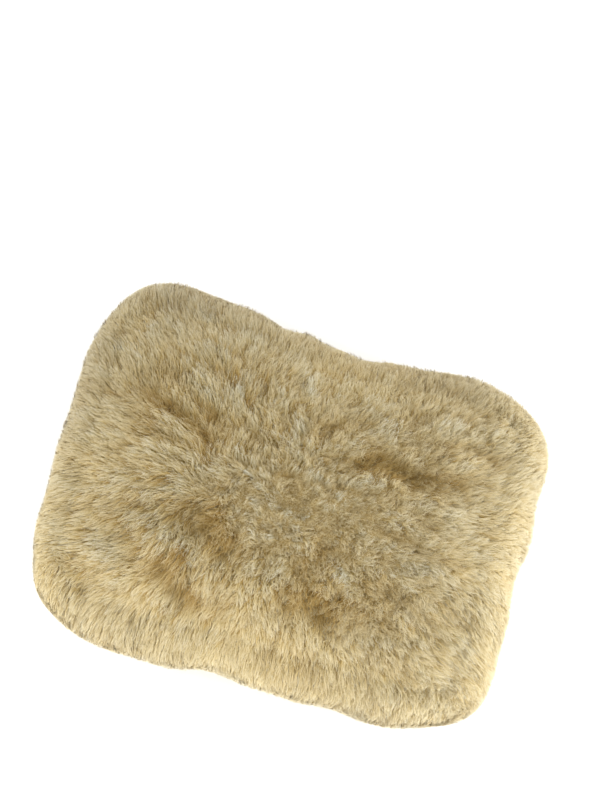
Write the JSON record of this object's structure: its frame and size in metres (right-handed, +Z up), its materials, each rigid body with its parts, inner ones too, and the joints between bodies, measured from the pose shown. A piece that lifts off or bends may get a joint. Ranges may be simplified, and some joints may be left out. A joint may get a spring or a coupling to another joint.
{
  "type": "wash mitt",
  "caption": "Rectangular two-sided sheepskin wash mitt with a hand pocket between two hides, deep wool all round and an elastic rib-knit cuff turned in at the open end.",
  "frame": {"origin": "middle of the flat underside of the wool, where the mitt rests on a table", "axes": "+X along the mitt towards its open mouth, +Y across it, +Z up through the back of the hand"},
  "size_m": [0.266, 0.202, 0.0692],
  "materials": {
    "wool": "crimped natural wool, cream tips over tan roots",
    "hide": "tanned sheepskin, suede flesh side",
    "thread": "twisted polyester sewing thread",
    "rib_knit": "two-by-two rib knit",
    "elastic": "braided elastic",
    "label_tape": "blank woven satin tape"
  },
  "bodies": {
    "mitt": {"back_wool_pile": "wool", "back_hide": "hide", "palm_hide": "hide", "palm_wool_pile": "wool", "side_seam_thread": "thread", "cuff_rib_sleeve": "rib_knit", "cuff_seam_thread": "thread", "care_label": "label_tape"},
    "cuff_end": {"cuff_hem": "rib_knit", "cuff_elastic": "elastic", "cuff_hem_stitch": "thread"}
  },
  "joints": [
    {"name": "cuff_turn_out", "type": "slide", "parent": "mitt", "child": "cuff_end", "axis": [1, 0, 0], "range_m": [0, 0.09], "deforming": ["cuff_rib_sleeve", "cuff_seam_thread"]}
  ]
}
